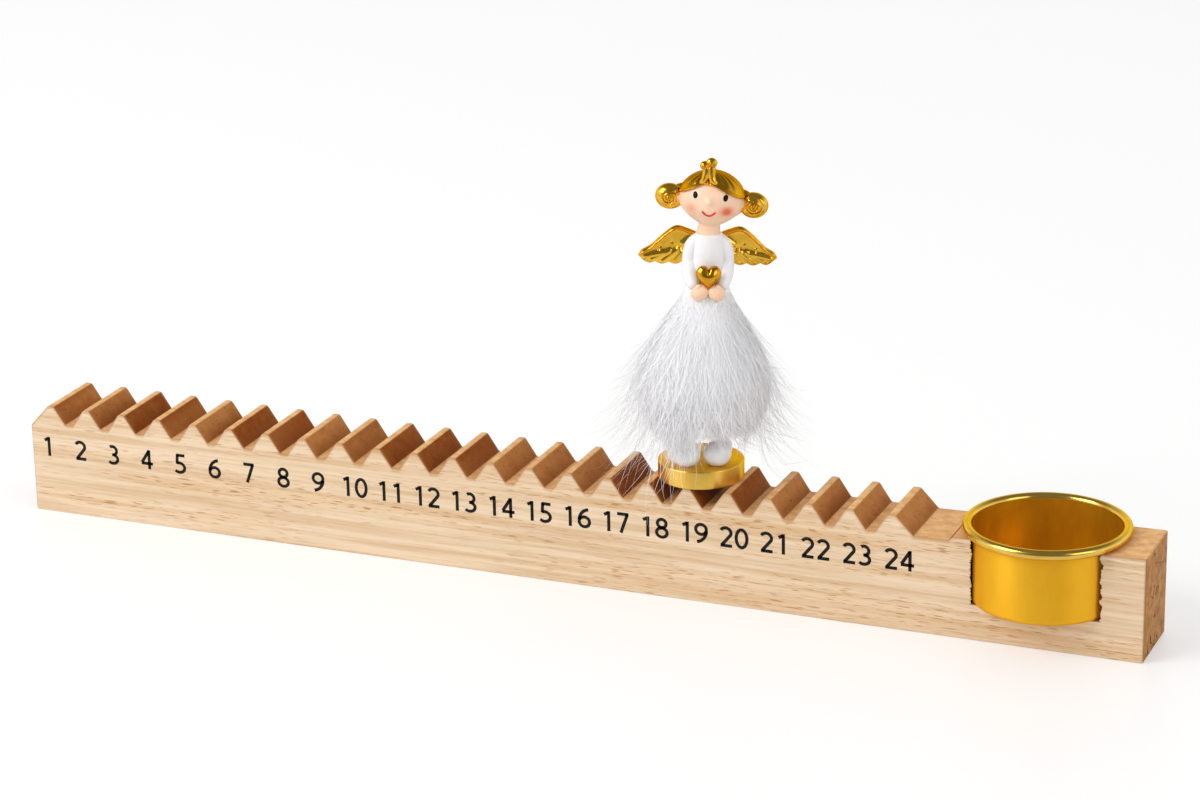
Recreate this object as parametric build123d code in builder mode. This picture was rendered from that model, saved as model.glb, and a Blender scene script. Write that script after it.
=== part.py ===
from build123d import *
import os
from math import cos, radians, sin, sqrt

# An advent candle holder: a notched day bar, a tealight cup let into its end, and a loose angel figure.
# Millimetres, +Z up. The origin is the middle of the bar's underside. +X runs along the bar towards the
# cup, and the day numbers face -Y. Left and right are the viewer's, facing the figure.

# Notched bar
tooth_count = 23
tooth_pitch = 11.9
tooth_top_width = 2.0
notch_floor_width = 2.6
notch_depth = 5.4
first_tooth_inset = 7.3
end_slope_drop = 6.9
deck_drop = 4.4
deck_slope_run = 5.4
deck_length = 64.5
bar_depth = 23.0
bar_height = 33.4
bar_corner_round = 0.8

# Candle cup, drawn from sheet with its rim rolled outwards
cup_bore = 40.4
cup_wall = 0.4
cup_height = 22.5
cup_base_round = 1.6
rim_roll = 2.8
rim_clearance = 1.0
pocket_clearance = 0.25
cup_inset = 30.4

# Where and how the figure stands
figure_tooth_index = 17
figure_turn = 22.7
figure_lean = 2.4
glue_gap = 0.05

# Disc, shoes and legs
disc_diameter = 24.2
disc_height = 5.2
disc_edge_round = 0.4
leg_diameter = 3.4
leg_spacing = 9.4
leg_forward = 1.6
leg_body_depth = 5.0
leg_socket_depth = 3.0
shoe_width = 8.0
shoe_length = 11.0
shoe_height = 7.4
shoe_toe_forward = 2.2

# Lower body and torso, heights measured from the disc's top
lower_body_shoe_gap = 6.1
lower_body_height = 35.0
lower_body_leg_wall = 2.1
lower_body_top_diameter = 8.0
spigot_diameter = 4.0
spigot_length = 4.0
torso_length = 17.1
waist_width = 11.0
waist_depth = 9.0
chest_width = 9.3
chest_depth = 7.6
collar_width = 7.2
collar_depth = 6.6

# Feather skirt
skirt_top_diameter = 11.6
skirt_top_drop = 1.5
skirt_hem_diameter = 51.0
skirt_hem_height = 2.5
skirt_hem_thickness = 4.0
skirt_gap = 0.3
skirt_foot_room = 27.0

# Arms, hands and heart
sleeve_diameter = 3.8
cuff_diameter = 3.4
elbow_spread = 10.1
arm_root_spread = 5.0
shoulder_spread = 8.7
forearm_spread = 9.3
cuff_spread = 6.6
arm_root_drop = 2.3
shoulder_drop = 3.2
elbow_drop = 8.1
cuff_drop = 14.8
cuff_forward = 5.2
hand_diameter = 4.2
hand_spread = 4.3
hand_drop = 15.8
hand_forward = 6.3
heart_width = 6.5
heart_height = 7.0
heart_lobe_diameter = 3.5
heart_tip_diameter = 1.0
heart_drop = 11.2
heart_forward = 5.5

# Head and hair, heights measured from where the jaw meets the neck
neck_diameter = 6.0
neck_foot_diameter = 6.5
neck_length = 2.6
neck_spigot_diameter = 3.2
neck_spigot_length = 2.4
head_turn = 7.0
head_roll = 3.3
head_width = 17.9
head_depth = 15.6
jaw_height = 6.2
crown_height = 8.2
ear_diameter = 2.4
ear_spread = 18.4
nose_diameter = 1.7
nose_rise = 1.9
hair_thickness = 0.6
hairline_side_rise = 2.2
hairline_peak_rise = 7.1
hair_back_setback = 1.0
bun_diameter = 7.4
bun_coil_width = 3.0
bun_thickness = 4.4
bun_eye_diameter = 1.8
bun_spread = 23.2
bun_setback = 0.8
tuft_stem_diameter = 2.8
tuft_foot_diameter = 4.2
tuft_height = 5.6
tuft_setoff = 0.9
tuft_forward = 3.9
tuft_left_curl_diameter = 2.0
tuft_right_curl_diameter = 2.5

# Wings
wing_reach = 19.1
wing_height = 11.1
wing_drop = 10.4
wing_thickness = 1.8
wing_setback = 2.6
wing_border = 0.9
wing_recess = 0.5


# Places worked out from the sizes above
bar_length = (
    first_tooth_inset + (tooth_count - 1) * tooth_pitch + tooth_top_width / 2 + deck_slope_run + deck_length
)
left_end = -bar_length / 2
right_end = bar_length / 2
deck_z = bar_height - deck_drop
notch_z = bar_height - notch_depth
cup_x = right_end - cup_inset
cup_radius = cup_bore / 2 + cup_wall
pocket_radius = cup_radius + pocket_clearance
pocket_z = deck_z + rim_clearance + rim_roll - cup_height
up = (0, 0, 1)


def tooth_x(index):
    """Where a tooth's middle is along the bar, counted from 0 at the left end."""
    return left_end + first_tooth_inset + index * tooth_pitch


# The figure stands square on its disc and leans a little above it.
STAND = Plane(
    origin=(tooth_x(figure_tooth_index), 0, bar_height + disc_height),
    x_dir=(cos(radians(figure_turn)), sin(radians(figure_turn)), 0),
    z_dir=up,
)
FIGURE = STAND.moved(Location((0, 0, 0), (0, figure_lean, 0)))
lower_body_hem = shoe_height + lower_body_shoe_gap
waist_height = lower_body_hem + lower_body_height
collar_height = waist_height + torso_length
HEAD = FIGURE.moved(Location((0, 0, collar_height + neck_length), (0, head_roll, -head_turn)))
sides = {"left": -1, "right": 1}
os.makedirs("parts", exist_ok=True)


def front_of(plane):
    """The upright plane that faces the viewer: its x runs to the right and its y runs up."""
    return plane.moved(Location((0, 0, 0), (90, 0, 0)))


def save(builder, name):
    """Labels a finished piece and writes it as one STEP file."""
    builder.part.label = name
    export_step(builder.part, f"parts/{name}.step")


def level_ellipses(plane, sizes):
    """Ellipses level with the plane, each given as height, width, depth and where its middle is.

    Each is two halves that meet on a diagonal, so that a loft's seams keep clear of nose and ears."""
    sections = []
    for height, width, depth, middle in sizes:
        with BuildSketch(plane.offset(height)) as section:
            with BuildLine():
                EllipticalCenterArc(middle, width / 2, depth / 2, 45, arc_size=180)
                EllipticalCenterArc(middle, width / 2, depth / 2, 225, arc_size=180)
            make_face()
        sections.append(section.sketch)
    return sections


def circles_along(plane, points, diameters):
    """Circles square to a smooth path through points given in the plane's own axes, evenly spaced."""
    path = Spline(*[plane.from_local_coords(point) for point in points], mode=Mode.PRIVATE)
    sections = []
    for step, diameter in enumerate(diameters):
        with BuildSketch(Plane(path ^ (step / (len(diameters) - 1)))) as section:
            Circle(diameter / 2)
        sections.append(section.sketch)
    return sections


# Notched bar: sawn hardwood, with a pocket bored through to the front and back for the cup
bar_outline = [(left_end, 0), (left_end, bar_height - end_slope_drop)]
for tooth in range(tooth_count):
    if tooth > 0:
        notch_x = tooth_x(tooth) - tooth_pitch / 2
        bar_outline.append((notch_x - notch_floor_width / 2, notch_z))
        bar_outline.append((notch_x + notch_floor_width / 2, notch_z))
    bar_outline.append((tooth_x(tooth) - tooth_top_width / 2, bar_height))
    bar_outline.append((tooth_x(tooth) + tooth_top_width / 2, bar_height))
bar_outline += [(right_end - deck_length, deck_z), (right_end, deck_z), (right_end, 0)]

with BuildPart() as notched_bar:
    with BuildSketch(Plane.XZ):
        with BuildLine():
            Polyline(*bar_outline, close=True)
        make_face()
    extrude(amount=bar_depth / 2, both=True)
    upright_edges = notched_bar.edges().filter_by(Axis.Z).group_by(Axis.X)
    fillet(upright_edges[0] + upright_edges[-1], radius=bar_corner_round)
    with BuildSketch(Plane.XY.offset(pocket_z)):
        with Locations((cup_x, 0)):
            Circle(pocket_radius)
    extrude(amount=bar_height - pocket_z, mode=Mode.SUBTRACT)
save(notched_bar, "notched_bar")

# Candle cup: stands on the pocket's floor, its rolled rim just clear of the deck
roll_radius = rim_roll / 2
roll_centre = (cup_bore / 2 + roll_radius, cup_height - roll_radius)
inner_base_round = cup_base_round - cup_wall
with BuildPart() as candle_cup:
    with BuildSketch(Plane(origin=(cup_x, 0, pocket_z), x_dir=(1, 0, 0), z_dir=(0, -1, 0))):
        with BuildLine():
            Polyline(
                (cup_bore / 2 - inner_base_round, cup_wall),
                (0, cup_wall),
                (0, 0),
                (cup_radius - cup_base_round, 0),
            )
            CenterArc((cup_radius - cup_base_round, cup_base_round), cup_base_round, -90, 90)
            Line((cup_radius, cup_base_round), (cup_radius, roll_centre[1]))
            inner_curl = CenterArc(roll_centre, roll_radius - cup_wall, 180, -270)
            outer_curl = CenterArc(roll_centre, roll_radius, 180, -270)
            Line(inner_curl @ 1, outer_curl @ 1)
            Line((cup_bore / 2, roll_centre[1]), (cup_bore / 2, cup_wall + inner_base_round))
            CenterArc((cup_bore / 2 - inner_base_round, cup_base_round), inner_base_round, -90, 90)
        make_face()
    revolve(axis=Axis((cup_x, 0, 0), up))
save(candle_cup, "candle_cup")

# Figure base: a gold disc, drilled for the legs
leg_places = {side: (sign * leg_spacing / 2, -leg_forward) for side, sign in sides.items()}
leg_socket_radius = leg_diameter / 2 + glue_gap
with BuildPart() as figure_base:
    with BuildSketch(STAND):
        Circle(disc_diameter / 2)
    extrude(amount=-disc_height)
    fillet(figure_base.edges().sort_by(Axis.Z)[-1], radius=disc_edge_round)
    with BuildSketch(STAND):
        with Locations(*leg_places.values()):
            Circle(leg_socket_radius)
    extrude(amount=-leg_socket_depth, mode=Mode.SUBTRACT)
save(figure_base, "figure_base")

# Shoes and legs: round shoes on the disc, and legs glued through them into the disc
leg_top = lower_body_hem + leg_body_depth
shoe_profile = [(0.0, 0.82), (0.3, 1.0), (0.6, 0.95), (0.85, 0.76), (1.0, 0.56)]
for side, sign in sides.items():
    leg_x, leg_y = leg_places[side]
    shoe_middle = (leg_x, leg_y - shoe_toe_forward)
    shoe_sizes = [
        (rise * shoe_height, girth * shoe_width, girth * shoe_length, shoe_middle)
        for rise, girth in shoe_profile
    ]
    with BuildPart() as shoe:
        loft(level_ellipses(STAND, shoe_sizes))
        with BuildSketch(STAND):
            with Locations((leg_x, leg_y)):
                Circle(leg_socket_radius)
        extrude(amount=shoe_height, mode=Mode.SUBTRACT)
    save(shoe, f"{side}_shoe")

    with BuildPart() as leg:
        with BuildSketch(STAND.offset(-leg_socket_depth)):
            with Locations((leg_x, leg_y)):
                Circle(leg_diameter / 2)
        extrude(amount=leg_socket_depth + leg_top)
    save(leg, f"{side}_leg")

# Lower body: the cone that the feathers are wound on, plugged into the torso
lower_body_hem_diameter = leg_spacing + leg_diameter + 2 * lower_body_leg_wall
with BuildPart() as lower_body:
    with BuildSketch(front_of(FIGURE)):
        with BuildLine():
            Polyline(
                (0, lower_body_hem),
                (lower_body_hem_diameter / 2, lower_body_hem),
                (lower_body_top_diameter / 2, waist_height),
                (spigot_diameter / 2, waist_height),
                (spigot_diameter / 2, waist_height + spigot_length),
                (0, waist_height + spigot_length),
                close=True,
            )
        make_face()
    revolve(axis=Axis(FIGURE.origin, FIGURE.z_dir))
    with BuildSketch(STAND):
        with Locations(*leg_places.values()):
            Circle(leg_socket_radius)
    extrude(amount=leg_top + glue_gap, mode=Mode.SUBTRACT)
save(lower_body, "lower_body")

# Torso: the white bodice, hollowed below for the lower body and above for the neck
torso_sizes = [
    (waist_height, waist_width, waist_depth, (0, 0)),
    (waist_height + 0.55 * torso_length, chest_width, chest_depth, (0, 0)),
    (waist_height + 0.85 * torso_length, 0.96 * chest_width, 0.96 * chest_depth, (0, 0)),
    (collar_height, collar_width, collar_depth, (0, 0)),
]
with BuildPart() as torso:
    loft(level_ellipses(FIGURE, torso_sizes))
    with BuildSketch(FIGURE.offset(waist_height)):
        Circle(spigot_diameter / 2 + glue_gap)
    extrude(amount=spigot_length + glue_gap, mode=Mode.SUBTRACT)
    with BuildSketch(FIGURE.offset(collar_height)):
        Circle(neck_spigot_diameter / 2 + glue_gap)
    extrude(amount=-(neck_spigot_length + glue_gap), mode=Mode.SUBTRACT)
save(torso, "torso")

# Feather skirt: one soft bell round the lower body, open below over the shoes and the disc
with BuildPart() as feather_skirt:
    with BuildSketch(front_of(FIGURE)):
        top_radius = skirt_top_diameter / 2
        hem_radius = skirt_hem_diameter / 2
        inner_top_radius = lower_body_top_diameter / 2 + skirt_gap
        inner_hem_radius = lower_body_hem_diameter / 2 + skirt_gap
        skirt_top = waist_height - skirt_top_drop
        skirt_length = skirt_top - skirt_hem_height
        with BuildLine():
            outside = Spline(
                (top_radius, skirt_top),
                (top_radius + 0.5 * (hem_radius - top_radius), skirt_top - 0.29 * skirt_length),
                (top_radius + 0.83 * (hem_radius - top_radius), skirt_top - 0.65 * skirt_length),
                (hem_radius, skirt_hem_height),
            )
            Polyline(
                outside @ 1,
                (hem_radius - skirt_hem_thickness, skirt_hem_height),
                (skirt_foot_room / 2, shoe_height + skirt_gap),
                (inner_hem_radius, lower_body_hem),
                (inner_top_radius, skirt_top),
                outside @ 0,
            )
        make_face()
    revolve(axis=Axis(FIGURE.origin, FIGURE.z_dir))
save(feather_skirt, "feather_skirt")

# Heart: two plump lobes that run together to a point
heart_tip_radius = heart_tip_diameter / 2
heart_lobe_radius = heart_lobe_diameter / 2
heart_middle = Vector(0, -heart_forward, collar_height - heart_drop)
lobe_across = heart_width / 2 - heart_lobe_radius
lobe_rise = heart_height / 2 - heart_lobe_radius
with BuildPart() as heart:
    for sign in sides.values():
        lobe = heart_middle + Vector(sign * lobe_across, 0, lobe_rise)
        tip = heart_middle + Vector(-sign * heart_tip_radius / 4, 0, heart_tip_radius - heart_height / 2)
        lobe_plane = Plane(
            origin=FIGURE.from_local_coords(lobe),
            x_dir=FIGURE.from_local_coords(tip) - FIGURE.from_local_coords(lobe),
            z_dir=-FIGURE.y_dir,
        )
        run = (tip - lobe).length
        slope = (heart_lobe_radius - heart_tip_radius) / run
        flank = sqrt(1 - slope**2)
        with BuildSketch(lobe_plane):
            with BuildLine():
                lobe_touch = (heart_lobe_radius * slope, heart_lobe_radius * flank)
                tip_touch = (run + heart_tip_radius * slope, heart_tip_radius * flank)
                half = sqrt(0.5)
                ThreePointArc(
                    (-heart_lobe_radius, 0),
                    (-half * heart_lobe_radius, half * heart_lobe_radius),
                    lobe_touch,
                )
                Line(lobe_touch, tip_touch)
                ThreePointArc(
                    tip_touch,
                    (run + half * heart_tip_radius, half * heart_tip_radius),
                    (run + heart_tip_radius, 0),
                )
                Line((run + heart_tip_radius, 0), (-heart_lobe_radius, 0))
            make_face()
        revolve(axis=Axis(lobe_plane.origin, lobe_plane.x_dir))
    add(torso.part, mode=Mode.SUBTRACT)
save(heart, "heart")

# Sleeves and hands: the arms come forward from the shoulders, and the hands meet under the heart
sleeve_diameters = [cuff_diameter, sleeve_diameter, sleeve_diameter, sleeve_diameter, cuff_diameter]
sleeves = {}
for side, sign in sides.items():
    arm_path = [
        (sign * arm_root_spread / 2, 0, collar_height - arm_root_drop),
        (sign * shoulder_spread / 2, 0, collar_height - shoulder_drop),
        (sign * elbow_spread / 2, 0, collar_height - elbow_drop),
        (sign * forearm_spread / 2, -cuff_forward / 2, collar_height - (elbow_drop + cuff_drop) / 2),
        (sign * cuff_spread / 2, -cuff_forward, collar_height - cuff_drop),
    ]
    with BuildPart() as sleeve:
        loft(circles_along(FIGURE, arm_path, sleeve_diameters))
        add(torso.part, mode=Mode.SUBTRACT)
        add(heart.part, mode=Mode.SUBTRACT)
    save(sleeve, f"{side}_sleeve")
    sleeves[side] = sleeve.part

    hand_middle = (sign * hand_spread / 2, -hand_forward, collar_height - hand_drop)
    with BuildPart() as hand:
        with Locations(FIGURE.from_local_coords(hand_middle)):
            Sphere(hand_diameter / 2)
        add(sleeve.part, mode=Mode.SUBTRACT)
        add(heart.part, mode=Mode.SUBTRACT)
        add(torso.part, mode=Mode.SUBTRACT)
    save(hand, f"{side}_hand")


def skull_sizes(extra):
    """Level ellipses of the head, made larger all round by extra: a jaw that widens from the neck,
    and above the ears half an ellipsoid."""
    jaw_steps = [1.0, 0.82, 0.6, 0.35]
    crown_steps = [0.0, 0.35, 0.62, 0.82, 0.94, 0.99]
    narrowing = 1 - neck_diameter / head_width
    sections = []
    for step in jaw_steps:
        girth = 1 - narrowing * step**1.75
        sections.append((jaw_height * (1 - step), girth * head_width, girth * head_depth))
    for step in crown_steps:
        girth = sqrt(1 - step**2)
        sections.append((jaw_height + step * (crown_height + extra), girth * head_width, girth * head_depth))
    return [(height, width + 2 * extra, depth + 2 * extra, (0, 0)) for height, width, depth in sections]


# Head: head, neck, ears and nose are one casting, and the neck plugs into the collar
neck_sizes = [
    (collar_height, neck_foot_diameter, neck_foot_diameter, (0, 0)),
    (collar_height + 0.6 * neck_length, neck_diameter, neck_diameter, (0, 0)),
]
ear_places = [
    Plane(HEAD.from_local_coords((sign * ear_spread / 2, 0, jaw_height)), z_dir=sign * HEAD.x_dir)
    for sign in sides.values()
]
nose_place = Plane(
    HEAD.from_local_coords((0, -head_depth / 2, jaw_height + nose_rise)), z_dir=-HEAD.y_dir
)
with BuildPart() as head:
    loft(level_ellipses(FIGURE, neck_sizes) + level_ellipses(HEAD, skull_sizes(0)))
    with Locations(*ear_places):
        Sphere(ear_diameter / 2)
    with Locations(nose_place):
        Sphere(nose_diameter / 2)
    with BuildSketch(FIGURE.offset(collar_height - neck_spigot_length)):
        Circle(neck_spigot_diameter / 2)
    extrude(amount=neck_spigot_length + neck_length / 2)
save(head, "head")

# Hair cap: a thin shell over the crown and the back of the head, parted at the forehead
hair_room = head_width
with BuildPart() as hair_cap:
    loft(level_ellipses(HEAD, skull_sizes(hair_thickness)))
    add(head.part, mode=Mode.SUBTRACT)
    with BuildSketch(front_of(HEAD).offset(-hair_back_setback)):
        with BuildLine():
            Polyline(
                (-hair_room, -neck_length),
                (-hair_room, jaw_height + hairline_side_rise),
                (-head_width / 2, jaw_height + hairline_side_rise),
                (-tuft_setoff, jaw_height + hairline_peak_rise),
                (head_width / 2, jaw_height + hairline_side_rise),
                (hair_room, jaw_height + hairline_side_rise),
                (hair_room, -neck_length),
                close=True,
            )
        make_face()
    extrude(amount=hair_room, mode=Mode.SUBTRACT)
save(hair_cap, "hair_cap")

# Buns: coiled plaits beside the ears
coil_middle = (bun_diameter - bun_coil_width) / 2
for side, sign in sides.items():
    bun_plane = Plane(
        origin=HEAD.from_local_coords((sign * bun_spread / 2, bun_setback, jaw_height)),
        x_dir=HEAD.x_dir,
        z_dir=HEAD.z_dir,
    )
    with BuildPart() as bun:
        with BuildSketch(bun_plane):
            with Locations((coil_middle, 0)):
                Ellipse(bun_coil_width / 2, bun_thickness / 2)
            with Locations((coil_middle / 2, 0)):
                Rectangle(coil_middle, 0.6 * bun_thickness)
            with Locations((bun_eye_diameter / 4, 0)):
                Rectangle(bun_eye_diameter / 2, 0.85 * bun_thickness)
        revolve(axis=Axis(bun_plane.origin, bun_plane.y_dir))
        add(head.part, mode=Mode.SUBTRACT)
        add(hair_cap.part, mode=Mode.SUBTRACT)
    save(bun, f"{side}_bun")

# Tuft: two locks drawn up from the parting that curl apart at the top
tuft_foot = jaw_height + hairline_peak_rise
tuft_top = tuft_foot + tuft_height
tuft_rises = [tuft_foot - tuft_foot_diameter / 2, tuft_foot, tuft_top]
tuft_path = [(-tuft_setoff, -tuft_forward, rise) for rise in tuft_rises]
tuft_diameters = [tuft_foot_diameter, tuft_foot_diameter, tuft_stem_diameter, tuft_stem_diameter]
with BuildPart() as hair_tuft:
    loft(circles_along(HEAD, tuft_path, tuft_diameters))
    for sign, curl in ((-1, tuft_left_curl_diameter), (1, tuft_right_curl_diameter)):
        curl_across = sign * tuft_stem_diameter / 3 - tuft_setoff
        curl_middle = (curl_across, -tuft_forward, tuft_top + sign * curl / 6)
        with Locations(HEAD.from_local_coords(curl_middle)):
            Sphere(curl / 2)
    add(hair_cap.part, mode=Mode.SUBTRACT)
    add(head.part, mode=Mode.SUBTRACT)
save(hair_tuft, "hair_tuft")

# Wings: plates with a raised border and a scalloped lower edge, glued to the back of the bodice
scallop_shares = [(0.93, 0.12), (0.76, 0.08), (0.56, 0.06), (0.36, 0.08)]
wing_bottom = collar_height - wing_drop
wing_plane = front_of(FIGURE).offset(-wing_setback)


def wing_point(sign, across, rise):
    """A point of the wing's outline, as shares of its reach from the middle and of its height."""
    return (sign * across * wing_reach, wing_bottom + rise * wing_height)


for side, sign in sides.items():
    root_top = wing_point(sign, 0.04, 0.72)
    tip_top = wing_point(sign, 0.97, 0.38)
    scallops = [wing_point(sign, across, rise) for across, rise in scallop_shares]
    with BuildPart() as wing:
        with BuildSketch(wing_plane) as wing_face:
            with BuildLine():
                Spline(
                    root_top,
                    wing_point(sign, 0.29, 0.9),
                    wing_point(sign, 0.49, 1.0),
                    wing_point(sign, 0.65, 0.81),
                    wing_point(sign, 0.83, 0.49),
                    tip_top,
                )
                ThreePointArc(tip_top, wing_point(sign, 1.0, 0.25), scallops[0])
                for start, end in zip(scallops, scallops[1:]):
                    lowest = ((start[0] + end[0]) / 2, (start[1] + end[1]) / 2 - 0.06 * wing_height)
                    ThreePointArc(start, lowest, end)
                Polyline(scallops[-1], wing_point(sign, 0.04, 0.2), root_top)
            make_face()
        extrude(amount=-wing_thickness)
        with BuildSketch(wing_plane):
            add(wing_face.sketch)
            offset(amount=-wing_border, mode=Mode.REPLACE)
        extrude(amount=-wing_recess, mode=Mode.SUBTRACT)
        add(torso.part, mode=Mode.SUBTRACT)
        add(sleeves[side], mode=Mode.SUBTRACT)
    save(wing, f"{side}_wing")
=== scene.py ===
import bmesh
import bpy
import numpy as np
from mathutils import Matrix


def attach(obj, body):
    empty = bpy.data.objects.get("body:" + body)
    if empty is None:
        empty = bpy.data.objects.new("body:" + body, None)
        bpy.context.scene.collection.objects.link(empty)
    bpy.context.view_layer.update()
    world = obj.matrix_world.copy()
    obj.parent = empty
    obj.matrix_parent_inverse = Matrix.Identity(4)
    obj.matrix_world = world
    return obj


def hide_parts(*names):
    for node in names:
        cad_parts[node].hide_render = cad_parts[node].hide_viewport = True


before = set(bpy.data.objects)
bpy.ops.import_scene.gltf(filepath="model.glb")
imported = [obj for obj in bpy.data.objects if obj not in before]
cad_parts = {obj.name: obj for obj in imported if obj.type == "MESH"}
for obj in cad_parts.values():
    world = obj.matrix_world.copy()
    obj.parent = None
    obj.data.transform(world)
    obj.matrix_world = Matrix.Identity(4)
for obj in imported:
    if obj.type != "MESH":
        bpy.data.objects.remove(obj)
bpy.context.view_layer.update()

# Notched bar: one length of pale hardwood, planed on its long faces, with notches sawn across its top edge.
# A round pocket is bored for the cup near the right-hand end. It breaks out at the front and the back, where
# the thin edges of the wood tore.
chance = np.random.default_rng(24)
bar_end, bar_depth, bar_height, left_end_z = 170.0, 23.0, 33.4, 26.5
deck_z, notch_z, pocket_z = 29.0, 28.0, 10.3
cup_x, pocket_radius = 139.6, 20.85
first_tooth, tooth_pitch, tooth_count, tooth_flat, notch_flat = 7.3, 11.9, 23, 1.0, 1.3
ragged_deck = [[105.5, 27.9], [115.2, 28.1], [116.4, 29.2], [bar_end, 29.9]]
arris, end_round = 0.28, 0.9


def add_node(tree, kind, inputs=None, **settings):
    """Adds a shader node with its settings. Each input, by name or number, gets a value or a node's socket."""
    made = tree.nodes.new(kind)
    for setting, value in settings.items():
        setattr(made, setting, value)
    for place, value in (inputs or {}).items():
        if isinstance(value, bpy.types.NodeSocket):
            tree.links.new(value, made.inputs[place])
        else:
            made.inputs[place].default_value = value
    return made


def speckle(tree, cells, detail=3.0):
    """Noise on the piece's own coordinates with so many cells per metre along x, y and z."""
    place = add_node(tree, "ShaderNodeTexCoord").outputs["Object"]
    scaled = add_node(tree, "ShaderNodeMapping", {"Vector": place, "Scale": cells}).outputs["Vector"]
    noise = {"Vector": scaled, "Scale": 1.0, "Detail": detail, "Roughness": 0.6}
    return add_node(tree, "ShaderNodeTexNoise", noise).outputs[0]


def graded(tree, value, low, high, start=0.0, end=1.0):
    """A value from low to high taken in a straight line to the range from start to end, and held there."""
    ends = {"Value": value, "From Min": low, "From Max": high, "To Min": start, "To Max": end}
    return add_node(tree, "ShaderNodeMapRange", ends).outputs["Result"]


def sum_of(tree, operation, first, second):
    """Two values put together by a sum such as MULTIPLY, MAXIMUM or ADD."""
    return add_node(tree, "ShaderNodeMath", {0: first, 1: second}, operation=operation).outputs[0]


def blended(tree, share, first, second):
    """A colour that is the first where share is 0 and the second where it is 1."""
    return add_node(tree, "ShaderNodeMix", {0: share, 6: first, 7: second}, data_type="RGBA").outputs[2]


def new_finish(name, sockets):
    """A material with one Principled BSDF and its plain socket values, and that material's tree and shader."""
    made = bpy.data.materials.new(name)
    made.use_nodes = True
    shader = made.node_tree.nodes["Principled BSDF"]
    for place, value in sockets.items():
        shader.inputs[place].default_value = value
    return made, made.node_tree, shader


def dented(tree, shader, height, depth, strength):
    """Lets a value stand for height on the surface, up to depth in metres, as fine relief."""
    bump = add_node(tree, "ShaderNodeBump", {"Height": height, "Distance": depth, "Strength": strength})
    tree.links.new(bump.outputs["Normal"], shader.inputs["Normal"])


wood, tree, shader = new_finish("pale_hardwood", {"Roughness": 0.62, "Specular IOR Level": 0.08})
streak = speckle(tree, (15, 380, 620), 4.0)
band = speckle(tree, (7, 90, 130), 2.0)
pore = speckle(tree, (190, 1900, 2300), 1.0)
mottle = speckle(tree, (260, 330, 330), 4.0)
planed = blended(tree, graded(tree, streak, 0.36, 0.60), (0.71, 0.50, 0.305, 1), (0.86, 0.675, 0.48, 1))
planed = blended(tree, graded(tree, band, 0.50, 0.72, 0.0, 0.45), planed, (0.72, 0.43, 0.20, 1))
in_band = graded(tree, band, 0.42, 0.62, 0.1, 0.75)
pore_mark = sum_of(tree, "MULTIPLY", graded(tree, pore, 0.58, 0.68), in_band)
planed = blended(tree, pore_mark, planed, (0.46, 0.20, 0.065, 1))
sawn_top = blended(tree, graded(tree, mottle, 0.35, 0.65), (0.64, 0.34, 0.13, 1), (0.84, 0.50, 0.23, 1))
# The sawn flanks take a dark brown that is partly the sawn grain and partly painted shade, as dark as flanks
# that face away from the light.
tooth_tone = speckle(tree, (70, 8, 8), 0.0)
darker = graded(tree, tooth_tone, 0.42, 0.58)
flank_grain_and_shade = blended(tree, darker, (0.54, 0.225, 0.062, 1), (0.27, 0.060, 0.004, 1))
shaded = graded(tree, tooth_tone, 0.40, 0.55, 0.35, 0.8)
shaded = sum_of(tree, "MULTIPLY", graded(tree, mottle, 0.35, 0.65), shaded)
flank_grain_and_shade = blended(tree, shaded, flank_grain_and_shade, (0.33, 0.105, 0.015, 1))
# Towards the notch floors the flanks turn darker still: painted shade in the bottoms of the notches.
place = add_node(tree, "ShaderNodeTexCoord").outputs["Object"]
height = add_node(tree, "ShaderNodeSeparateXYZ", {0: place}).outputs["Z"]
flank_grain_and_shade = blended(tree, graded(tree, height, 0.0315, 0.0285, 0.0, 0.4), flank_grain_and_shade, (0.21, 0.055, 0.007, 1))
fleck = sum_of(tree, "MULTIPLY", graded(tree, pore, 0.64, 0.70), graded(tree, streak, 0.45, 0.6))
flank_grain_and_shade = blended(tree, fleck, flank_grain_and_shade, (0.11, 0.032, 0.008, 1))
facing = add_node(tree, "ShaderNodeNewGeometry").outputs["Normal"]
facing = add_node(tree, "ShaderNodeSeparateXYZ", {0: facing})
long_face = graded(tree, sum_of(tree, "ABSOLUTE", facing.outputs["Y"], 0.0), 0.55, 0.85)
underside = graded(tree, facing.outputs["Z"], -0.5, -0.8)
colour = blended(tree, graded(tree, facing.outputs["Z"], 0.8, 0.95), flank_grain_and_shade, sawn_top)
# The end faces take a brown that is partly the darker end grain and partly painted shade, as dark as an end
# that faces away from the light.
end_grain_and_shade = blended(tree, graded(tree, mottle, 0.30, 0.70), (0.36, 0.150, 0.040, 1), (0.60, 0.31, 0.115, 1))
crack_line = sum_of(tree, "ABSOLUTE", sum_of(tree, "SUBTRACT", speckle(tree, (90, 160, 110), 2.0), 0.5), 0.0)
cracked = sum_of(tree, "MULTIPLY", graded(tree, crack_line, 0.016, 0.004), graded(tree, band, 0.42, 0.52))
end_grain_and_shade = blended(tree, cracked, end_grain_and_shade, (0.07, 0.025, 0.010, 1))
end_face = graded(tree, sum_of(tree, "ABSOLUTE", facing.outputs["X"], 0.0), 0.92, 0.98)
colour = blended(tree, end_face, colour, end_grain_and_shade)
colour = blended(tree, sum_of(tree, "MAXIMUM", long_face, underside), colour, planed)
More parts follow.
